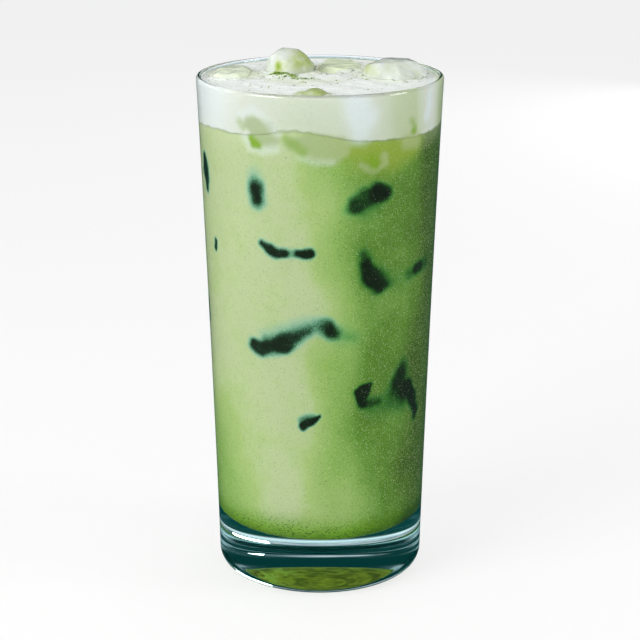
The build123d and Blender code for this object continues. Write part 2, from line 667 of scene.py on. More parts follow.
# %% [markdown]
# ## Ice against the wall
#
# Most of the ice is sunk in the latte.  Where a block presses against the glass, the
# film of latte between them is so thin that the clear ice shows through it, and where
# the block curves away the film thickens and hides it.  Through the clear ice shows the
# unlit depth of the drink, so the patches carry painted shade: near black in the middle,
# teal round it, and fading out softly.  Each patch is a stroke over the wall: points with
# an azimuth, a height and a half width.  A mask takes the distance from the stroke, and
# the material turns the mask into film colours.

# %% Strokes over the wall
# Each stroke: softness in millimetres, strength, then (azimuth, height, half width).
shaded_ice = [
    (1.0, 1.0, [(-73.5, 137.0, 0.9), (-72.5, 132.5, 2.4), (-71.5, 127.0, 0.9)]),
    (0.6, 1.0, [(-63.9, 111.8, 0.5), (-64.3, 109.5, 0.9)]),
    (1.0, 1.0, [(-84.0, 90.0, 1.0), (-84.0, 85.0, 1.6), (-86.0, 81.0, 0.8)]),
    # An oval that fades all round.
    (1.8, 1.0, [(-32.3, 131.5, 1.5), (-31.4, 127.6, 1.5)]),
    (2.2, 0.35, [(-32.7, 134.9, 1.0), (-31.7, 133.1, 1.3)]),
    # A bow with a thin middle.
    (0.8, 1.0, [(-29.4, 114.5, 0.7), (-26.1, 112.9, 1.4), (-21.3, 111.8, 1.5), (-17.7, 112.0, 1.0)]),
    (1.0, 0.55, [(-17.7, 112.0, 0.9), (-11.2, 112.1, 0.9)]),
    (0.7, 1.0, [(-10.7, 112.1, 0.9), (-7.2, 112.1, 1.3), (-5.3, 112.3, 1.5)]),
    # A block's corner, high on the right.
    (1.5, 1.0, [(28.6, 130.4, 2.0), (33.3, 129.6, 1.6)]),
    (1.4, 0.72, [(28.6, 129.8, 2.6), (23.0, 129.0, 2.9), (17.5, 126.9, 2.4)]),
    (1.5, 0.30, [(17.0, 126.4, 2.0), (14.0, 125.2, 1.4)]),
    (2.0, 0.30, [(27.9, 126.7, 2.0), (21.6, 124.3, 1.3)]),
    # An edge that leans, and its far end.
    (1.5, 1.0, [(23.3, 107.8, 1.3), (25.6, 103.9, 2.3), (30.3, 101.0, 2.0)]),
    (1.7, 0.72, [(22.1, 111.6, 1.0), (23.8, 107.8, 1.7)]),
    (1.7, 0.72, [(30.1, 105.5, 1.3), (35.7, 101.2, 1.0)]),
    (2.3, 0.22, [(37.5, 102.6, 1.3), (48.6, 102.3, 1.3)]),
    (1.3, 1.0, [(56.9, 103.4, 1.0), (59.7, 104.0, 1.0)]),
    (1.7, 0.55, [(50.9, 102.6, 1.0), (57.8, 103.6, 1.3), (66.5, 104.3, 1.3)]),
    # The largest face, with a soft upper edge and a broken end.
    (1.3, 0.97, [(-36.1, 81.9, 1.5), (-31.2, 81.1, 2.2), (-25.3, 82.3, 2.0), (-19.1, 83.4, 2.5)]),
    (1.6, 0.85, [(-19.1, 83.4, 2.2), (-11.6, 85.9, 1.4), (-6.0, 88.0, 0.7)]),
    (2.2, 0.42, [(-29.0, 84.5, 1.0), (-15.2, 87.8, 1.3), (-7.0, 89.8, 1.0), (0.1, 89.6, 1.6)]),
    (1.7, 0.93, [(4.1, 89.7, 1.2), (5.7, 87.5, 1.5)]),
    (1.7, 0.35, [(-0.9, 89.8, 1.3), (4.1, 88.5, 1.7)]),
    (2.3, 0.42, [(9.3, 86.8, 1.3), (16.6, 85.5, 1.0)]),
    # A sharp corner with a hook.
    (0.6, 1.0, [(19.5, 67.8, 0.9), (22.7, 67.1, 2.2), (24.1, 68.0, 1.8)]),
    (0.6, 1.0, [(22.0, 68.8, 1.0), (25.4, 69.5, 0.9), (26.9, 69.9, 0.6)]),
    (0.8, 0.95, [(21.6, 65.6, 1.2), (23.3, 64.1, 1.0)]),
    (1.2, 0.68, [(22.8, 63.9, 1.2), (27.4, 63.8, 1.3), (32.3, 64.0, 0.7)]),
    (2.6, 0.36, [(28.7, 61.7, 1.3), (37.6, 62.4, 2.3), (43.1, 64.3, 2.3)]),
    # A long face near the right edge.
    (2.0, 0.86, [(47.8, 71.2, 1.7), (46.5, 68.8, 2.6), (51.7, 65.0, 2.3)]),
    (1.2, 1.0, [(54.3, 66.3, 1.7), (58.9, 60.9, 2.0), (62.9, 56.6, 1.3), (62.0, 54.7, 0.7)]),
    (2.0, 0.6, [(49.1, 73.9, 1.0), (48.6, 71.4, 1.7)]),
    (2.6, 0.48, [(42.2, 66.1, 2.0), (48.8, 61.2, 2.3)]),
    # A small wedge.
    (0.5, 1.0, [(-8.9, 57.3, 1.3), (-5.7, 58.7, 1.2), (-0.2, 60.6, 0.4)]),
    (0.8, 0.62, [(-10.0, 59.3, 0.9), (-4.6, 60.6, 0.7)]),
]
# Patches round the sides and the back, which lie as unevenly.
shaded_ice += [
    (1.3, 1.0, [(88.0, 128.0, 1.4), (95.0, 124.5, 2.4), (104.0, 123.5, 1.6)]),
    (1.0, 0.8, [(108.0, 131.5, 1.0), (113.0, 129.5, 1.8)]),
    (1.5, 1.0, [(86.0, 93.0, 0.9), (91.0, 88.5, 2.3), (94.0, 83.0, 1.5)]),
    (0.9, 1.0, [(112.0, 104.5, 0.7), (119.0, 106.5, 1.7), (127.0, 105.5, 1.1)]),
    (1.8, 0.5, [(125.0, 105.0, 1.8), (133.0, 103.0, 1.2)]),
    (1.4, 1.0, [(105.0, 70.0, 1.0), (110.0, 66.0, 2.2), (118.0, 64.5, 2.4), (126.0, 66.5, 1.2)]),
    (1.0, 0.9, [(95.0, 49.0, 0.7), (101.0, 47.0, 1.5)]),
    (1.5, 1.0, [(145.0, 133.0, 1.4), (150.0, 129.0, 2.5), (152.0, 123.5, 1.5)]),
    (1.2, 1.0, [(163.0, 113.0, 0.9), (171.0, 114.5, 2.0), (180.0, 112.5, 1.2)]),
    (1.3, 0.85, [(148.0, 86.0, 2.2), (156.0, 83.5, 2.6), (165.0, 84.5, 1.3)]),
    (0.8, 1.0, [(170.0, 58.0, 0.9), (176.0, 60.5, 1.5)]),
    (1.6, 0.7, [(-170.0, 133.0, 1.4), (-163.0, 129.5, 2.4), (-156.0, 130.5, 1.3)]),
    (1.2, 1.0, [(-168.0, 92.0, 1.1), (-162.0, 95.5, 2.2), (-154.0, 96.5, 2.3), (-147.0, 94.0, 1.0)]),
    (1.0, 1.0, [(-150.0, 68.5, 1.0), (-146.0, 64.0, 2.0), (-147.0, 59.0, 1.1)]),
    (1.4, 1.0, [(-139.0, 118.0, 1.2), (-132.0, 114.5, 2.2), (-124.0, 115.5, 1.3)]),
    (1.7, 0.6, [(-125.0, 115.5, 2.0), (-116.0, 117.5, 1.2)]),
    (1.0, 1.0, [(-118.0, 134.0, 1.0), (-114.0, 130.0, 2.0), (-115.0, 126.0, 1.0)]),
    (1.2, 1.0, [(-121.0, 84.0, 1.0), (-114.0, 80.5, 2.2), (-106.0, 79.5, 1.6), (-100.0, 81.5, 0.7)]),
    (1.4, 0.9, [(-98.0, 103.0, 1.3), (-94.0, 98.5, 2.2)]),
    (0.9, 1.0, [(-108.0, 55.0, 0.8), (-103.0, 57.5, 1.4), (-98.0, 58.0, 0.7)]),
]
# Ice near the milk: its milky body, its fresh green edges, the frost round it, and a painted highlight
# drawn with the frost.
pale_ice = [
    (0.8, 0.85, [(-33.9, 151.0, 2.0), (-27.6, 149.0, 3.3), (-24.6, 146.8, 3.0)]),
    (1.0, 0.85, [(-13.8, 145.8, 1.0), (-3.6, 145.1, 3.6), (4.7, 143.9, 4.0), (8.4, 144.4, 3.0)]),
    (1.3, 0.75, [(45.7, 144.4, 2.0), (51.5, 144.1, 1.7)]),
    (0.7, 0.75, [(19.1, 138.7, 0.5), (26.3, 136.8, 0.6), (32.7, 138.8, 0.7), (31.4, 141.0, 1.0)]),
    (1.2, 0.9, [(96.0, 150.0, 2.0), (103.0, 147.5, 3.4)]),
    (1.2, 0.9, [(150.0, 148.5, 2.4), (160.0, 147.0, 3.0)]),
    (1.2, 0.8, [(-140.0, 150.0, 2.2), (-131.0, 147.5, 3.2)]),
    (1.4, 0.8, [(-95.0, 149.0, 2.0), (-90.0, 146.5, 2.8)]),
]
fresh_green = [
    (0.7, 0.4, [(-40.4, 150.9, 0.6), (-38.1, 149.2, 0.7)]),
    (0.7, 0.95, [(-33.1, 146.3, 0.8), (-31.5, 144.9, 1.2), (-29.4, 144.3, 0.7)]),
    (1.0, 0.55, [(-16.2, 146.9, 0.7), (-12.4, 145.2, 1.3), (-8.2, 143.2, 1.0)]),
    (0.8, 0.5, [(47.9, 150.5, 0.7), (49.6, 148.0, 1.0)]),
    (0.6, 0.8, [(48.2, 147.2, 0.6), (49.7, 147.0, 0.5)]),
    (1.2, 0.85, [(24.5, 140.8, 0.7), (26.7, 138.6, 1.0)]),
    (1.0, 0.8, [(93.0, 146.0, 0.7), (97.0, 144.5, 1.0)]),
    (1.0, 0.8, [(162.0, 144.0, 0.9), (168.0, 145.2, 0.6)]),
    (1.0, 0.8, [(-141.0, 146.5, 0.7), (-136.0, 144.6, 1.1)]),
]
# Milk that has run down into the darker latte and made it lighter.
lime_green = [
    (3.0, 0.85, [(12.0, 144.0, 1.0), (22.0, 143.0, 3.0), (36.0, 142.0, 4.0), (47.0, 143.5, 3.0)]),
    (2.5, 0.30, [(47.0, 143.0, 3.0), (54.0, 146.0, 2.0)]),
    (3.0, 0.22, [(14.0, 139.0, 2.0), (28.0, 137.0, 3.5), (38.0, 138.0, 2.0)]),
    (3.0, 0.70, [(100.0, 145.0, 1.0), (116.0, 143.0, 3.0)]),
]
frost_and_shine = [
    (1.2, 0.5, [(-39.0, 152.8, 0.7), (-32.6, 154.7, 1.0), (-27.3, 153.2, 0.7), (-20.5, 148.2, 0.7)]),
    (1.2, 0.55, [(-37.7, 146.6, 0.7), (-34.4, 143.5, 0.7), (-27.9, 142.7, 0.7), (-20.7, 143.7, 0.7)]),
    (2.2, 0.9, [(16.5, 157.3, 3.0), (19.6, 153.0, 3.6), (18.7, 148.9, 2.3)]),
    # Painted highlight: a vertical shine down the glass, drawn in the frost colour.
    (1.0, 0.9, [(61.7, 157.6, 1.0), (61.5, 153.4, 1.2), (60.0, 150.6, 1.2)]),
    (1.0, 0.35, [(-9.2, 141.4, 0.5), (-0.8, 140.3, 0.5), (5.7, 140.3, 0.5)]),
    (2.0, 0.9, [(100.0, 153.5, 1.5), (110.0, 151.0, 2.0)]),
    (2.0, 0.9, [(-126.0, 152.0, 1.5), (-122.0, 147.0, 1.2)]),
]
# Green water under the ice, seen from above: the same, but on (x, y, half width).
green_water = [
    (1.5, 0.85, [(-13.4, 6.0, 0.8), (-12.2, 9.0, 1.2)]),
    (1.2, 0.80, [(-15.0, 2.0, 0.5), (-11.4, 1.2, 0.6), (-8.0, -0.8, 0.5)]),
    (1.2, 0.45, [(-6.0, -3.0, 0.5), (-4.0, -5.5, 0.5)]),
    (1.0, 0.7, [(-5.0, -28.0, 2.0), (1.0, -28.5, 2.5)]),
    (2.0, 0.35, [(14.0, 8.0, 0.6), (17.0, 13.5, 0.8), (21.0, 15.0, 0.6)]),
]
pale_water = [
    (4.0, 0.75, [(-31.0, 9.0, 4.0), (-25.0, 3.0, 5.0)]),
    (3.0, 0.55, [(-10.0, 12.0, 2.0), (-5.0, 10.0, 2.5), (-3.0, 5.0, 1.5)]),
    (5.0, 0.65, [(-1.0, 14.0, 4.0), (8.0, 19.0, 5.0), (14.0, 12.0, 3.0)]),
    (4.0, 0.40, [(14.0, 2.0, 3.0), (24.0, -6.0, 3.0)]),
    (3.5, 0.45, [(-14.0, -6.0, 2.0), (-6.0, -11.0, 3.0), (4.0, -8.0, 2.0)]),
]
unroll_radius = 34.5


def plan_mask(across, along, strokes):
    """How strongly each point of a flat plan lies in the strokes, which add up softly."""
    mask = np.zeros(len(across))
    for softness, strength, line in strokes:
        apart = np.full(len(across), 99.0)
        for (*start, width), (*end, last_width) in zip(line[:-1], line[1:]):
            step = np.subtract(end, start)
            off = np.stack([across, along], 1) - start
            share = np.clip(off @ step / (step @ step), 0.0, 1.0)
            away = np.linalg.norm(off - share[:, None] * step, axis=1)
            apart = np.minimum(apart, away - (width + (last_width - width) * share))
        part = strength * ease(-apart, -1.6 * softness, 0.8 * softness)
        mask = 1.0 - (1.0 - mask) * (1.0 - part)
    return mask


def stroke_mask(azimuth, height, strokes):
    """The same for points of the wall, unrolled from its front."""
    mask = np.zeros(len(azimuth))
    for softness, strength, line in strokes:
        centre = line[0][0]
        across = np.radians((azimuth - centre + 180.0) % 360.0 - 180.0) * unroll_radius
        flat = [(math.radians(turn - centre) * unroll_radius, up, width) for turn, up, width in line]
        part = plan_mask(across, height, [(softness, strength, flat)])
        mask = 1.0 - (1.0 - mask) * (1.0 - part)
    return mask


# %% [markdown]
# The latte isn't evenly mixed.  It is milky on one side and rich in matcha on the other,
# and that darker right side also carries painted shade, since the key light is at the left.
# The powder settles in the last centimetre above the floor, and the milk fades into it
# over a few millimetres.  These are masks too, kept on the points of the mesh, and each
# one's edge is moved about by soft noise, so that nothing looks drawn with a ruler.

# %% Masks on the liquids
# How the milk behind the glass passes from bluish white to green grey, with a painted highlight from 58
# to 66 degrees: (azimuth, shade).
milk_shades_with_highlight = [
    (-180.0, 0.50),
    (-110.0, 0.45),
    (-75.0, 0.05),
    (-52.0, 0.12),
    (-40.0, 0.40),
    (-15.0, 0.60),
    (8.0, 0.60),
    (28.0, 0.50),
    (38.0, 0.82),
    (50.0, 0.90),
    # Painted highlight: the milk is drawn paler here, where a vertical gleam runs down the glass.
    (58.0, 0.40),
    (66.0, 0.25),
    (75.0, 0.95),
    (120.0, 0.60),
    (180.0, 0.50),
]

foam_top = (milk_level - 4.0, milk_level - 2.0)  # what is seen from above starts here
wall_band = (-1.2, -0.2)  # from inside the bore to where a point lies at the wall
settled_depths = (2.5, 12.5)  # powder lies thick below the first, and none above the second


def richness_and_shade(azimuth, height, big, streaks):
    """How rich in matcha the latte is, with painted shade: most at the right, away from the key light at
    the left, and a little low at the left edge.
    """
    wavy = azimuth + 9.0 * big + 7.0 * streaks
    # Painted shade: the right side is darker partly because the key light comes from the left, and most
    # at the far right edge.
    right_side = 0.70 * ease(wavy, -18.0, 36.0) + 0.30 * ease(wavy, 42.0, 68.0)
    right_side *= 1.0 - 0.70 * ease(azimuth, 95.0, 160.0)
    left_back = 0.20 * ease(-azimuth, 110.0, 180.0)
    left_edge = ease(-wavy, 22.0, 70.0) * (1.0 - ease(-azimuth, 100.0, 150.0))
    low = ease(-height, -80.0, -25.0) * (1.0 - right_side)
    rich_and_shade = right_side + left_back + low * (0.05 + 0.45 * left_edge) - 0.06 * low
    return np.clip(rich_and_shade + 0.05 * big + 0.04 * streaks, 0.0, 1.0)


def keep_top_masks(mesh, points, near_top, warp):
    """Keeps the masks of what is seen in the foam from above."""
    x, y, _ = points.T
    top = near_top > 0.0
    under_ice = np.zeros(len(points))
    foot_shade = np.zeros(len(points))
    under_ice[top] = ease(ice_depth(points[top] + np.array([0.0, 0.0, 1.0])), -0.2, 1.2)
    from_edge = ice_depth(points[top] + np.array([0.0, 0.0, 0.3])) + 0.1
    foot_shade[top] = np.exp(-((from_edge / 0.35) ** 2))
    store(mesh, "under_ice", under_ice * near_top)
    store(mesh, "ice_foot_shade", foot_shade * near_top)
    store(mesh, "green_water", near_top * plan_mask(x + 0.8 * warp, y + 0.8 * warp, green_water))
    store(mesh, "pale_water", near_top * plan_mask(x + 2.0 * warp, y + 2.0 * warp, pale_water))


wall_strokes = {
    "shaded_ice": shaded_ice,
    "pale_ice": pale_ice,
    "fresh_green": fresh_green,
    "lime_green": lime_green,
    "frost_and_shine": frost_and_shine,
}


def keep_masks(mesh):
    """Works out and keeps every mask that the colours of the drink need."""
    points = points_of(mesh)
    x, y, z = points.T
    azimuth = np.degrees(np.arctan2(x, -y))
    at_wall = ease(np.hypot(x, y) - bore(z), *wall_band)
    warp = cloud(points, 3.0, 1.0)
    bent = azimuth + 0.9 * warp
    bent_height = z + 0.45 * cloud(points, 2.6, 7.0)
    big = cloud(points, 22.0, 4.0)
    streaks = cloud(points * np.array([1.0, 1.0, 0.35]), 9.0, 6.0)
    store(mesh, "rich_and_shade", richness_and_shade(azimuth, z, big, streaks))
    above_floor = z - floor_height - 2.0 * big
    store(mesh, "settled", 1.0 - ease(above_floor, *settled_depths))
    store(mesh, "above_latte", z - latte_height(x, y))
    for name, strokes in wall_strokes.items():
        store(mesh, name, at_wall * stroke_mask(bent, bent_height, strokes))
    store(mesh, "at_wall", at_wall)
    keep_top_masks(mesh, points, (1.0 - at_wall) * ease(z, *foam_top), warp)
    store(mesh, "milk_shade_with_highlight", np.interp(azimuth + 4.0 * big, *zip(*milk_shades_with_highlight)))
    store(mesh, "underside", ease(-z, -floor_height - 0.6, -floor_height + 0.1))


for liquid in (latte, milk):
    keep_masks(liquid.data)
    print(liquid.name, len(liquid.data.vertices), "points carry masks")

# %% [markdown]
# ## Colours of the drink
#
# Latte and milk share one node group, because they share one look where they meet: from
# either side of the surface, the colour is the same mixture.  The group reads the masks
# and lays them over each other in the order that the eye meets them: the mixture, the
# settled powder, the milk, then the ice at the wall, and last the tiny bubbles.

# %% Helpers for shader nodes
def attribute(tree, name):
    """A mask that the mesh carries."""
    return add_node(tree, "ShaderNodeAttribute", attribute_name=name).outputs["Fac"]


def soft_step(tree, value, low, high, top=1.0):
    """A soft step from 0 to top as the value passes from low to high."""
    values = {0: value, "From Min": low, "From Max": high, "To Max": top}
    return add_node(tree, "ShaderNodeMapRange", values, interpolation_type="SMOOTHSTEP").outputs[0]


def rgba(colour):
    """A plain colour with its alpha; a socket stays as it is."""
    return colour if isinstance(colour, bpy.types.NodeSocket) else (*colour, 1.0)


def blend_colours(tree, share, under, over, blend_type="MIX"):
    """Lays one colour over another."""
    values = {0: share, 6: rgba(under), 7: rgba(over)}
    return add_node(tree, "ShaderNodeMix", values, data_type="RGBA", blend_type=blend_type).outputs[2]


def object_place(tree):
    """The place of a point in its piece, in metres."""
    return add_node(tree, "ShaderNodeTexCoord").outputs["Object"]


def moved_place(tree, seed):
    """The same, moved by a seed."""
    values = {"Vector": object_place(tree), "Location": (seed, seed, seed)}
    return add_node(tree, "ShaderNodeMapping", values).outputs[0]


def noise_at(tree, size, detail=2.0, seed=0.0):
    """Noise with lumps of a size in millimetres."""
    values = {"Vector": moved_place(tree, seed), "Scale": 1.0 / (size * MM), "Detail": detail}
    return add_node(tree, "ShaderNodeTexNoise", values).outputs["Fac"]


def stretched_noise(tree, place, scale):
    """Noise drawn out along an axis: its scale is given for each axis."""
    stretched = add_node(tree, "ShaderNodeMapping", {"Vector": place, "Scale": scale}).outputs[0]
    return add_node(tree, "ShaderNodeTexNoise", {"Vector": stretched, "Scale": 1.0}).outputs["Fac"]


def dots_at(tree, cell, radius, seed=0.0):
    """A mask of scattered dots: one for each cell of that size, in millimetres."""
    values = {"Vector": moved_place(tree, seed), "Scale": 1.0 / (cell * MM)}
    distance = add_node(tree, "ShaderNodeTexVoronoi", values).outputs["Distance"]
    nearness = product(tree, distance, -1.0)
    return soft_step(tree, nearness, -radius / cell, -0.4 * radius / cell)


def bump_of(tree, height, strength, depth):
    """The normal of a fine relief with a depth in millimetres."""
    values = {"Height": height, "Strength": strength, "Distance": depth * MM}
    return add_node(tree, "ShaderNodeBump", values).outputs[0]


def colour_ramp(tree, share, stops):
    """Colours along a share, from stops of (place, colour)."""
    node = add_node(tree, "ShaderNodeValToRGB", {0: share})
    ramp = node.color_ramp
    ramp.elements.remove(ramp.elements[1])
    for place, colour in stops:
        ramp.elements.new(place).color = (*colour, 1.0)
    ramp.elements.remove(ramp.elements[0])
    return node.outputs[0]


# %% The colours of the drink
# From latte full of milk to latte rich in matcha; the darkest stops also carry the painted shade of the
# right side.
latte_stops = [
    (0.00, (0.600, 0.690, 0.395)),
    (0.12, (0.485, 0.640, 0.245)),
    (0.39, (0.336, 0.542, 0.137)),
    (0.64, (0.180, 0.370, 0.058)),
    (0.70, (0.135, 0.307, 0.034)),
    (1.00, (0.056, 0.125, 0.010)),
]
# How much light a film of latte over the ice sends back, from a thick film to none, where the painted
# shade behind the clear ice shows.
film_stops = [
    (0.00, (1.000, 1.000, 1.000)),
    (0.22, (0.760, 0.930, 1.000)),
    (0.45, (0.330, 0.630, 0.620)),
    (0.70, (0.085, 0.220, 0.180)),
    (1.00, (0.014, 0.028, 0.010)),
]
# Milk behind the glass, from bluish white to green grey.
milk_stops = [
    (0.00, (0.900, 0.930, 0.940)),
    (0.40, (0.800, 0.820, 0.740)),
    (0.70, (0.720, 0.780, 0.610)),
    (1.00, (0.590, 0.670, 0.390)),
]


def varied(tree, mask, grain, amount):
    """A mask that grain breaks up where it is neither empty nor full."""
    spread = product(tree, mask, maths(tree, "SUBTRACT", 1.12, mask))
    shift = product(tree, maths(tree, "SUBTRACT", grain, 0.5), 4.0 * amount)
    return maths(tree, "ADD", mask, product(tree, spread, shift))


def mixed_latte(tree, rich_and_shade, grain):
    """From milky to rich in matcha and painted shade, uneven and curdled, with flecks of froth and powder
    in it.
    """
    uneven = product(tree, maths(tree, "SUBTRACT", noise_at(tree, 7.0, 4.0), 0.5), 0.20)
    curdled = product(tree, maths(tree, "SUBTRACT", noise_at(tree, 2.2, 3.0, 0.17), 0.5), 0.10)
    uneven = maths(tree, "ADD", uneven, curdled)
    mixture = colour_ramp(tree, maths(tree, "ADD", rich_and_shade, uneven), latte_stops)
    fleck_share = maths(tree, "ADD", product(tree, rich_and_shade, 0.36), 0.22)
    froth = product(tree, soft_step(tree, grain, 0.54, 0.74), fleck_share)
    mixture = blend_colours(tree, froth, mixture, (0.72, 0.82, 0.40))
    powder = soft_step(tree, noise_at(tree, 0.5, 1.0, 0.11), 0.56, 0.76)
    return blend_colours(tree, product(tree, powder, fleck_share), mixture, (0.04, 0.11, 0.01))


def settled_powder(tree, rich_and_shade, mixture):
    """Powder that has sunk to the floor, with coarse specks in it."""
    settled = attribute(tree, "settled")
    shadowed = soft_step(tree, rich_and_shade, 0.40, 0.95)
    powder = blend_colours(tree, shadowed, (0.23, 0.49, 0.012), (0.045, 0.12, 0.006))
    mixture = blend_colours(tree, product(tree, settled, 0.85), mixture, powder)
    specks = maths(tree, "MAXIMUM", dots_at(tree, 0.75, 0.30, 0.01), dots_at(tree, 1.3, 0.42, 0.06))
    specks = product(tree, specks, settled)
    return blend_colours(tree, product(tree, specks, 0.9), mixture, (0.02, 0.07, 0.005))


def underside_with_painted_light(tree, underside, mixture):
    """The underside of the drink, painted as lit through the base: mottled, and folded at its left."""
    mottled = soft_step(tree, noise_at(tree, 2.6, 4.0), 0.35, 0.65, 0.90)
    below = blend_colours(tree, mottled, underside, (0.16, 0.17, 0.01))
    place = object_place(tree)
    folds = soft_step(tree, stretched_noise(tree, place, (420.0, 110.0, 110.0)), 0.42, 0.55)
    to_left = add_node(tree, "ShaderNodeSeparateXYZ", {0: place}).outputs["X"]
    to_left = soft_step(tree, product(tree, to_left, -1.0), 3.0 * MM, 10.0 * MM)
    below = blend_colours(tree, product(tree, folds, to_left), below, (0.80, 0.95, 0.12))
    return blend_colours(tree, attribute(tree, "underside"), mixture, below)


def top_of_milk(tree, given, grain):
    """The foam from above: white, paler green over ice, painted shade round the foot of each block, with
    pools of water.
    """
    on_top = blend_colours(tree, attribute(tree, "under_ice"), given["Milk"], given["Milk over ice"])
    on_top = blend_colours(tree, attribute(tree, "pale_water"), on_top, given["Pale water"])
    # Painted shade: a thin dark line round the foot of each ice block.
    foot_shade = product(tree, attribute(tree, "ice_foot_shade"), 0.55)
    on_top = blend_colours(tree, foot_shade, on_top, (0.36, 0.43, 0.30))
    soaked = varied(tree, attribute(tree, "green_water"), grain, 0.5)
    return blend_colours(tree, soaked, on_top, given["Green water"])


def milk_over_latte(tree, given, grain, mixture):
    """The milk, a thin dark line where the two meet, and creamy or lime latte below it."""
    wall = attribute(tree, "at_wall")
    wobble = product(tree, noise_at(tree, 4.0, 3.0), 2.0)
    above = maths(tree, "ADD", attribute(tree, "above_latte"), maths(tree, "SUBTRACT", wobble, 1.0))
    foam = soft_step(tree, above, -0.5, 0.6)
    below = rest_of(tree, foam)
    behind_glass = colour_ramp(tree, attribute(tree, "milk_shade_with_highlight"), milk_stops)
    milk = blend_colours(tree, wall, top_of_milk(tree, given, grain), behind_glass)
    mixture = blend_colours(tree, foam, mixture, milk)
    meeting = product(tree, product(tree, product(tree, foam, below), wall), 1.3)
    mixture = blend_colours(tree, meeting, mixture, (0.20, 0.30, 0.12))
    creamy = product(tree, soft_step(tree, above, -6.0, 0.0, 0.22), below)
    mixture = blend_colours(tree, creamy, mixture, (0.72, 0.80, 0.50))
    lime = product(tree, varied(tree, attribute(tree, "lime_green"), grain, 0.25), below)
    return blend_colours(tree, lime, mixture, (0.37, 0.49, 0.065)), foam


def ice_at_wall(tree, rich_and_shade, grain, mixture):
    """Milky ice, frost with its painted shine, and fresh green edges, then the painted shade of the ice
    faces under their film.
    """
    body = blend_colours(tree, rich_and_shade, (0.46, 0.55, 0.30), (0.54, 0.62, 0.28))
    frost_and_shine_white = (0.86, 0.92, 0.93)
    edge_green = (0.26, 0.46, 0.025)
    layers = [("pale_ice", 0.35, body), ("frost_and_shine", 0.5, frost_and_shine_white), ("fresh_green", 0.45, edge_green)]
    for mask, unevenness, colour in layers:
        share = varied(tree, attribute(tree, mask), grain, unevenness)
        mixture = blend_colours(tree, share, mixture, colour)
    cloudy = soft_step(tree, noise_at(tree, 3.0, 2.0, 0.23), 0.35, 0.70, 0.10)
    film = product(tree, attribute(tree, "shaded_ice"), rest_of(tree, cloudy))
    film = varied(tree, film, grain, 0.40)
    pale_side = rest_of(tree, soft_step(tree, rich_and_shade, 0.05, 0.40))
    chilled = product(tree, soft_step(tree, film, 0.0, 0.30, 0.45), pale_side)
    mixture = blend_colours(tree, chilled, mixture, (0.50, 0.66, 0.50))
    # Painted shade: the film colours fall to near black where the unlit depth of the drink shows through
    # the clear ice.
    mixture = blend_colours(tree, 1.0, mixture, colour_ramp(tree, film, film_stops), "MULTIPLY")
    return blend_colours(tree, soft_step(tree, film, 0.55, 1.0, 0.9), mixture, (0.005, 0.011, 0.002))


def clinging_bubbles(tree, rich_and_shade, share, mixture):
    """Tiny bubbles that cling to the glass, drawn as pale dots of painted sparkle, fewer where the
    painted shade of the ice lies.
    """
    sparkle = maths(tree, "MAXIMUM", dots_at(tree, 1.1, 0.18, 0.02), dots_at(tree, 0.7, 0.11, 0.04))
    share = product(tree, maths(tree, "ADD", rich_and_shade, 0.25), share)
    clear_of_ice = rest_of(tree, product(tree, attribute(tree, "shaded_ice"), 0.6))
    sparkle = product(tree, product(tree, sparkle, attribute(tree, "at_wall")), share)
    return blend_colours(tree, product(tree, sparkle, clear_of_ice), mixture, (0.80, 0.92, 0.55))


# %% The node group
def drink_colours():
    inputs = [
        ("Milk", "NodeSocketColor", (0.86, 0.90, 0.87, 1.0)),
        ("Milk over ice", "NodeSocketColor", (0.82, 0.87, 0.72, 1.0)),
        ("Pale water", "NodeSocketColor", (0.72, 0.78, 0.54, 1.0)),
        ("Green water", "NodeSocketColor", (0.36, 0.46, 0.07, 1.0)),
        # Painted light: the underside is drawn bright, as if lit through the heavy base.
        ("Underside", "NodeSocketColor", (0.66, 0.68, 0.05, 1.0)),
        ("Bubbles", "NodeSocketFloat", 0.60),
    ]
    outputs = [("Color", "NodeSocketColor"), ("Foam", "NodeSocketFloat")]
    tree = new_tree("drink colours", "ShaderNodeTree", inputs, outputs)
    given = add_node(tree, "NodeGroupInput").outputs
    rich_and_shade = attribute(tree, "rich_and_shade")
    grain = noise_at(tree, 0.34, 1.0, 0.07)
    mixture = mixed_latte(tree, rich_and_shade, grain)
    mixture = settled_powder(tree, rich_and_shade, mixture)
    mixture = underside_with_painted_light(tree, given["Underside"], mixture)
    mixture, foam = milk_over_latte(tree, given, grain, mixture)
    mixture = ice_at_wall(tree, rich_and_shade, grain, mixture)
    mixture = clinging_bubbles(tree, rich_and_shade, given["Bubbles"], mixture)
    add_node(tree, "NodeGroupOutput", {"Color": mixture, "Foam": foam})
    return tree


colours = drink_colours()

# %% [markdown]
# ## The gleam in the heavy base
#
# A thick base works like a prism: it throws the light of the room about inside itself
# and shows teal depths with pale streaks at both sides.  A room full of bright things
# could be built to be mirrored there.  Here the liquids' own finish paints that reflection
# instead: a ray that was mirrored twice on its way, which happens only inside the base,
# finds painted deep teal and thin pale streaks off the middle in place of the drink's own
# colour, and the streaks glow as emission, a painted gleam.

# %% What is seen deep in the base
streak_reach = (6.0, 13.0)  # millimetres from the middle plane
painted_deep_teal = (0.004, 0.080, 0.075)
painted_gleam = (0.85, 0.92, 1.00)
black = (0.0, 0.0, 0.0)


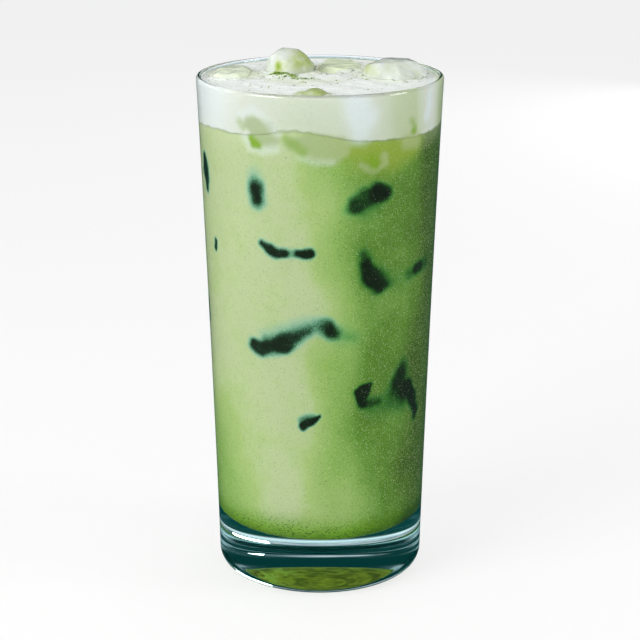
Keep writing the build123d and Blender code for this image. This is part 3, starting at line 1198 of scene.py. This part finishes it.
def painted_reflection_in_base(tree, colour):
    """Keeps the drink's own colour, but paints a reflection for a ray mirrored twice on its way: deep
    teal, with pale streaks that glow.
    """
    path = add_node(tree, "ShaderNodeLightPath").outputs
    thrown = maths(tree, "GREATER_THAN", path["Glossy Depth"], 1.5)
    thrown = product(tree, thrown, maths(tree, "LESS_THAN", path["Diffuse Depth"], 0.5))
    place = object_place(tree)
    off_middle = add_node(tree, "ShaderNodeSeparateXYZ", {0: place}).outputs["X"]
    off_middle = maths(tree, "ABSOLUTE", off_middle)
    off_middle = soft_step(tree, off_middle, streak_reach[0] * MM, streak_reach[1] * MM)
    streaks = soft_step(tree, stretched_noise(tree, place, (50.0, 50.0, 500.0)), 0.34, 0.52)
    streaks = product(tree, product(tree, streaks, off_middle), thrown)
    gleam = blend_colours(tree, streaks, black, painted_gleam)
    own = blend_colours(tree, thrown, colour, painted_deep_teal)
    return {"Base Color": own, "Emission Color": gleam, "Emission Strength": 1.0}


# %% Finish of the two liquids
def liquid_material(name, roughness):
    material, tree, shader = new_material(name)
    drink = add_node(tree, "ShaderNodeGroup", node_tree=colours)
    set_inputs(tree, shader, painted_reflection_in_base(tree, drink.outputs["Color"]))
    set_inputs(tree, shader, {"Roughness": roughness, "Specular IOR Level": 0.1})
    return material, tree, shader


def milk_material():
    """Milk foam: fine bubbles pit its top."""
    material, tree, shader = liquid_material("milk foam", 0.55)
    pinholes = product(tree, dots_at(tree, 0.9, 0.4, 0.05), -0.35)
    pits = maths(tree, "ADD", noise_at(tree, 1.2, 4.0, 0.03), pinholes)
    set_inputs(tree, shader, {"Normal": bump_of(tree, pits, 0.35, 0.6)})
    return material


finish_with(latte, liquid_material("matcha latte", 0.5)[0])
finish_with(milk, milk_material())
hand_over(latte, "matcha_latte", "matcha_latte")
hand_over(milk, "milk", "milk_cap")

# %% [markdown]
# ## Finish of the ice
#
# Melting ice in milk is a little clear and mostly milky: foam clings to it, and its wet
# skin has small ripples.  So the shader lets a small part of the light through and shows
# a pale colour for the rest.  Each point carries a tint, which says how much green water
# it has taken up, and noise makes patches of it.

# %% Ice material
ice_clearness = 0.16
# From the pale lime of a low block, through cold white, to green water.
ice_stops = [
    (0.00, (0.90, 0.99, 0.72)),
    (0.08, (0.64, 0.68, 0.65)),
    (0.28, (0.54, 0.60, 0.42)),
    (0.50, (0.44, 0.52, 0.22)),
    (1.00, (0.25, 0.38, 0.04)),
]


def ice_material():
    material, tree, shader = new_material("melting ice")
    patches = soft_step(tree, noise_at(tree, 5.0, 2.0, 0.013), 0.30, 0.65, 0.9)
    patches = product(tree, maths(tree, "ADD", patches, 0.55), 0.5)
    soaked = product(tree, attribute(tree, "tint"), patches)
    looks = {
        "Base Color": colour_ramp(tree, soaked, ice_stops),
        "Roughness": 0.12,
        "IOR": 1.31,
        "Specular IOR Level": 0.15,
        "Transmission Weight": ice_clearness,
        "Normal": bump_of(tree, noise_at(tree, 3.2, 3.0), 0.5, 1.6),
    }
    set_inputs(tree, shader, looks)
    absorb(tree, (0.80, 0.92, 0.45), 4.0)
    return material


ice_finish = ice_material()
for block, node in zip(ice_blocks, ice_kinds):
    finish_with(block, ice_finish)
    hand_over(block, "ice", node)

# %% [markdown]
# ## Ice sunk in the latte
#
# Behind every dark patch a block of ice presses against the glass.  Its body lies in the
# latte and only its flat face shows, so each block is built from rounded lumps along its
# stroke: a Geometry Nodes tree puts a small ball on every point, as large as the stroke
# is wide there.  A voxel remesh melts the balls of one block together, and what would
# reach into the glass is pressed flat against the bore.

# %% A Geometry Nodes tree that puts a small shape on every point
def scatter_tree(name, steps):
    """Balls on the points of a mesh, each as large as the point's own size says."""
    inputs = [
        geometry_socket,
        ("Flatness", "NodeSocketFloat", 1.0),
        ("Unevenness", "NodeSocketFloat", 0.0),
        ("Seed", "NodeSocketInt", 0),
        ("Finish", "NodeSocketMaterial"),
    ]
    tree = new_tree(name, "GeometryNodeTree", inputs, [geometry_socket])
    given = add_node(tree, "NodeGroupInput").outputs
    ball = add_node(tree, "GeometryNodeMeshIcoSphere", {"Radius": 1.0, "Subdivisions": steps})
    size = add_node(tree, "GeometryNodeInputNamedAttribute", {"Name": "size"}, data_type="FLOAT")
    low = rest_of(tree, given["Unevenness"])
    high = maths(tree, "ADD", 1.0, given["Unevenness"])

    def random_value(lowest, highest, seed):
        values = {2: lowest, 3: highest, 8: seed}
        return add_node(tree, "FunctionNodeRandomValue", values, data_type="FLOAT").outputs[1]

    def any_scale(shift):
        seed = maths(tree, "ADD", given["Seed"], shift)
        return product(tree, random_value(low, high, seed), size.outputs[0])

    upright = product(tree, any_scale(2.0), given["Flatness"])
    scale = {"X": any_scale(0.0), "Y": any_scale(1.0), "Z": upright}
    scale = add_node(tree, "ShaderNodeCombineXYZ", scale)
    turned = {"Z": random_value(0.0, math.tau, given["Seed"])}
    turned = add_node(tree, "ShaderNodeCombineXYZ", turned)
    placed = {
        "Points": given["Geometry"],
        "Instance": ball.outputs[0],
        "Rotation": turned.outputs[0],
        "Scale": scale.outputs[0],
    }
    placed = add_node(tree, "GeometryNodeInstanceOnPoints", placed)
    end_tree(tree, placed.outputs[0], given["Finish"])
    return tree


round_lumps = scatter_tree("balls on points", 2)
small_specks = scatter_tree("specks on points", 1)


def scattered(name, points, sizes, tree, values):
    """A piece of small shapes, with a size in millimetres for each point."""
    piece = mesh_object(name, points, [])
    store(piece.data, "size", np.asarray(sizes) * MM)
    return run_tree(piece, tree, values)


# %% The sunk ice
press_strength = 0.6  # weaker strokes are only a tone in the latte
lump_spacing = 1.1
thinnest_lump = 0.55
extra_girth = 1.4  # a ball is larger than its stroke, because only its cap shows
proud_of_latte = 0.02
sunk_voxel = 0.5


def sunk_ice_lumps():
    """Centres and radii of the lumps behind every strong stroke."""
    centres, sizes = [], []
    for _, strength, line in shaded_ice:
        if strength < press_strength:
            continue
        for (turn, up, width), (next_turn, next_up, next_width) in zip(line[:-1], line[1:]):
            along = math.hypot(math.radians(next_turn - turn) * unroll_radius, next_up - up)
            for share in np.linspace(0, 1, int(along / lump_spacing) + 2):
                half = max(thinnest_lump, width + (next_width - width) * share - 0.1)
                azimuth = math.radians(turn + (next_turn - turn) * share)
                height = up + (next_up - up) * share
                girth = half + extra_girth
                reach = float(bore(height)) - math.sqrt(girth**2 - half**2)
                centres.append((reach * math.sin(azimuth), -reach * math.cos(azimuth), height))
                sizes.append(girth)
    return np.array(centres), sizes


def make_sunk_ice():
    centres, sizes = sunk_ice_lumps()
    piece = scattered("sunk_ice", centres, sizes, round_lumps, {"Unevenness": 0.0})
    remeshed(piece, sunk_voxel)
    points = points_of(piece.data)
    from_axis = np.hypot(points[:, 0], points[:, 1])
    limit = bore(points[:, 2]) + sink + proud_of_latte
    pressed = np.minimum(from_axis, limit) / from_axis
    points[:, :2] *= pressed[:, None]
    set_points(piece.data, points)
    keep_masks(piece.data)
    return piece


sunk_ice = make_sunk_ice()
finish_with(sunk_ice, latte.data.materials[0])
hand_over(sunk_ice, "ice")

# %% [markdown]
# ## On the foam: bubbles, matcha and chips of ice
#
# Three kinds of small things lie on the foam, and all three are the same task: a shape
# on each of many points.  The points are placed on the foam's own height, so that every
# one of them touches it.  Matcha lies in a few clumps where the powder was sprinkled,
# bubbles gather along the ice and in patches, and clear chips melt between the blocks.

# %% Places on the foam
# Middle of each clump of matcha (x, y), its spread, and how many grains it has.
matcha_clumps = [
    (-14.2, 1.4, 0.6, 50),
    (-12.6, 1.0, 0.7, 70),
    (-10.2, 0.6, 0.9, 80),
    (-8.2, -0.9, 0.8, 40),
    (-11.2, -2.5, 0.8, 14),
    (-6.9, -4.3, 0.9, 20),
    (-12.1, -4.3, 0.6, 6),
    (-4.2, -6.1, 1.1, 24),
    (-2.7, -4.3, 0.8, 16),
    (-5.7, -11.4, 0.7, 8),
    (9.2, -6.1, 0.5, 5),
    (13.5, -0.7, 0.5, 6),
    (14.3, -7.9, 0.4, 4),
    (0.0, 0.0, 16.0, 50),
]


def laid_on_foam(x, y, lift):
    """Points on the foam, raised a little."""
    return np.stack([x, y, foam_height(x, y) + lift], 1)


def keep_clear(points, sizes, gap):
    """Drops what would lie in the ice or in the wall."""
    from_axis = np.hypot(points[:, 0], points[:, 1])
    good = (from_axis < lip_bore - 1.0) & (ice_depth(points) < -gap)
    return points[good], sizes[good]


# %% Grains of matcha
def make_matcha_grains():
    rng = np.random.default_rng(5)
    x, y = [], []
    for middle_x, middle_y, spread, count in matcha_clumps:
        x.extend(rng.normal(middle_x, spread, count))
        y.extend(rng.normal(middle_y, spread, count))
    sizes = rng.uniform(0.10, 0.30, len(x))
    points, sizes = keep_clear(laid_on_foam(np.array(x), np.array(y), 0.05), sizes, 0.0)
    material, tree, shader = new_material("matcha powder")
    patches = soft_step(tree, noise_at(tree, 1.1, 2.0), 0.4, 0.6)
    shades = blend_colours(tree, patches, (0.07, 0.16, 0.012), (0.26, 0.38, 0.04))
    set_inputs(tree, shader, {"Base Color": shades, "Roughness": 0.9})
    values = {"Unevenness": 0.4, "Flatness": 0.7, "Seed": 3, "Finish": material}
    return scattered("matcha_grains", points, sizes, small_specks, values)


hand_over(make_matcha_grains(), "matcha_latte")


# %% Bubbles in the foam
def make_foam_bubbles():
    rng = np.random.default_rng(9)
    count = 900
    turn = rng.uniform(0.0, math.tau, count)
    away = lip_bore * np.sqrt(rng.uniform(0.0, 1.0, count))
    sizes = rng.uniform(0.10, 0.28, count) + 0.25 * rng.uniform(0.0, 1.0, count) ** 6
    points = laid_on_foam(away * np.sin(turn), away * np.cos(turn), -0.02)
    nearness = ease(ice_depth(points), -3.5, -0.3)
    crowded = cloud(points, 6.0, 12.0)
    chosen = rng.uniform(0.0, 1.0, count) < 0.15 + 0.7 * nearness + 0.6 * np.clip(crowded, 0.0, 1.0)
    points, sizes = keep_clear(points[chosen], sizes[chosen], 0.05)
    material, tree, shader = new_material("foam bubble")
    patches = soft_step(tree, noise_at(tree, 3.0, 1.0), 0.4, 0.6)
    pale = blend_colours(tree, patches, (0.82, 0.88, 0.84), (0.66, 0.74, 0.60))
    set_inputs(tree, shader, {"Base Color": pale, "Roughness": 0.12, "Transmission Weight": 0.35})
    values = {"Flatness": 0.7, "Seed": 4, "Finish": material}
    return scattered("foam_bubbles", points, sizes, round_lumps, values)


hand_over(make_foam_bubbles(), "milk")


# %% Chips of ice
# Middle (x, y) and half size of each chip.
ice_chips = [
    (22.0, -6.5, 2.3),
    (18.4, -5.0, 1.1),
    (25.6, -10.0, 0.9),
    (13.5, 4.5, 1.3),
    (16.0, -1.0, 0.9),
    (-18.0, -1.5, 1.0),
    (-3.0, 4.0, 1.4),
    (1.5, 1.0, 0.8),
    (-24.0, -8.0, 0.9),
    (9.5, 9.0, 1.2),
    (-8.0, -16.0, 0.7),
]


def make_ice_chips():
    places = np.array(ice_chips)
    points = laid_on_foam(places[:, 0], places[:, 1], 0.1)
    points, sizes = keep_clear(points, places[:, 2], 0.4)
    values = {"Unevenness": 0.3, "Flatness": 0.45, "Seed": 11}
    piece = scattered("ice_chips", points, sizes, round_lumps, values)
    corners = points_of(piece.data)
    set_points(piece.data, corners + 0.25 * cloud(corners, 1.5, 2.0)[:, None])
    store(piece.data, "tint", np.full(len(corners), 0.2))
    finish_with(piece, ice_finish)
    return piece


hand_over(make_ice_chips(), "ice")

# %% [markdown]
# ## Floor, light and camera
#
# The drink stands on a pale floor in plain soft light: a large soft box at the left in
# front, a smaller one at the right, a weak low one behind, and an even sky.  Clear glass
# shows what lies round it, so it is told apart how a ray comes: straight from the eye it
# meets white, mirrored in the glass it meets a dark teal room, and bent through the
# glass it meets a streaked table and a streaked low wall, with a dark room above.  Only
# light that has met something dull counts as the plain light of the room.

# %% What a ray meets around the drink
def ray_kinds(tree):
    """Masks of rays straight from the eye, mirrored in glass, and bent through glass."""
    path = add_node(tree, "ShaderNodeLightPath").outputs
    unspent = maths(tree, "LESS_THAN", path["Diffuse Depth"], 0.5)
    mirrored = product(tree, path["Is Glossy Ray"], unspent)
    bent = product(tree, path["Is Transmission Ray"], unspent)
    return path["Is Camera Ray"], mirrored, bent


white = (1.0, 1.0, 1.0)
dark_room = (0.003, 0.046, 0.043)
# Painted light on the table that the glass shows: pale lit streaks, and a painted shadow of the glass
# within shadow_reach.
dim_table = (0.06, 0.16, 0.18)
lit_near_table = (0.92, 0.92, 0.98)
lit_far_table = (0.42, 0.55, 0.56)
near_reach = (0.28, 0.45)  # the table's streaks are paler as far as this, in metres
dim_wall = (0.10, 0.20, 0.24)
lit_wall = (1.05, 0.92, 1.00)
shadow_reach = (50.0, 58.0)  # the table is dark within this of the glass's axis
horizon_height = 0.25
floor_glow_share = 0.72

# %% Floor
floor_half = 3000.0


def floor_material():
    material, tree, shader = new_material("pale floor")
    set_inputs(tree, shader, {"Base Color": (0.86, 0.86, 0.86, 1.0), "Roughness": 0.6})
    from_eye, mirrored, bent = ray_kinds(tree)
    plain = blend_colours(tree, mirrored, white, dark_room)
    place = object_place(tree)
    away = add_node(tree, "ShaderNodeVectorMath", {0: place}, operation="LENGTH").outputs["Value"]
    past_shadow = soft_step(tree, away, shadow_reach[0] * MM, shadow_reach[1] * MM)
    streaks = soft_step(tree, stretched_noise(tree, place, (14.0, 60.0, 1.0)), 0.34, 0.52)
    far_off = soft_step(tree, away, near_reach[0], near_reach[1])
    pale = blend_colours(tree, far_off, lit_near_table, lit_far_table)
    table = blend_colours(tree, streaks, dim_table, pale)
    table = blend_colours(tree, past_shadow, dark_room, table)
    strength = maths(tree, "ADD", 1.0, product(tree, bent, 0.35))
    glow = {"Color": blend_colours(tree, bent, plain, table), "Strength": strength}
    glow = add_node(tree, "ShaderNodeEmission", glow).outputs[0]
    share = maths(tree, "MAXIMUM", mirrored, bent)
    share = maths(tree, "MAXIMUM", product(tree, from_eye, floor_glow_share), share)
    surface = add_node(tree, "ShaderNodeMixShader", {0: share, 1: shader.outputs[0], 2: glow})
    set_inputs(tree, tree.nodes["Material Output"], {"Surface": surface.outputs[0]})
    return material


corners = [(-1, -1, 0), (1, -1, 0), (1, 1, 0), (-1, 1, 0)]
floor = mesh_object("pale_floor", np.array(corners) * floor_half, [(0, 1, 2, 3)], smooth=False)
finish_with(floor, floor_material())

# %% Sky
sky_level = 0.70


def light_sky(tree):
    """Colours the sky: level light, and a streaked low wall for bent rays."""
    from_eye, mirrored, bent = ray_kinds(tree)
    plain = blend_colours(tree, from_eye, (sky_level,) * 3, white)
    towards = add_node(tree, "ShaderNodeTexCoord").outputs["Generated"]
    height = add_node(tree, "ShaderNodeSeparateXYZ", {0: towards}).outputs["Z"]
    streaks = soft_step(tree, stretched_noise(tree, towards, (2.0, 2.0, 30.0)), 0.38, 0.60)
    wall = blend_colours(tree, streaks, dim_wall, lit_wall)
    above_wall = soft_step(tree, height, 0.6 * horizon_height, horizon_height)
    wall = blend_colours(tree, above_wall, wall, dark_room)
    plain = blend_colours(tree, mirrored, plain, dark_room)
    set_inputs(tree, tree.nodes["Background"], {"Color": blend_colours(tree, bent, plain, wall)})


world = bpy.data.worlds.new("soft sky")
bpy.context.scene.world = world
world.use_nodes = True
light_sky(world.node_tree)


# %% Lamps
def soft_box(name, azimuth, height, distance, width, tall, watts, mirrored=True):
    """A soft box that faces the drink; azimuth 0 is in front and positive turns right."""
    lamp = bpy.data.lights.new(name, "AREA")
    lamp.shape = "RECTANGLE"
    lamp.size = width
    lamp.size_y = tall
    lamp.energy = watts
    box = bpy.data.objects.new(name, lamp)
    turn = math.radians(azimuth)
    box.location = (distance * math.sin(turn), -distance * math.cos(turn), height)
    middle = Vector((0.0, 0.0, glass_height * MM / 2))
    box.rotation_euler = (middle - box.location).to_track_quat("-Z", "Y").to_euler()
    box.visible_glossy = mirrored
    bpy.context.scene.collection.objects.link(box)


soft_box("key soft box", -50.0, 0.38, 0.95, 0.60, 0.60, 10.0)
soft_box("side soft box", 75.0, 0.20, 0.90, 0.30, 0.40, 5.0)
soft_box("back soft box", 148.0, 0.13, 0.90, 0.40, 0.16, 2.0, mirrored=False)

# %% Camera
eye_distance = 0.6003
eye_height = 0.2617
eye_pitch = 16.72
camera = bpy.data.cameras.new("camera")
camera.lens = 111.0
camera.sensor_width = 36.0
eye = bpy.data.objects.new("camera", camera)
eye.location = (0.0, -eye_distance, eye_height)
eye.rotation_euler = (math.radians(90.0 - eye_pitch), 0.0, 0.0)
bpy.context.scene.collection.objects.link(eye)
bpy.context.scene.camera = eye
bpy.context.scene.view_settings.view_transform = "Standard"
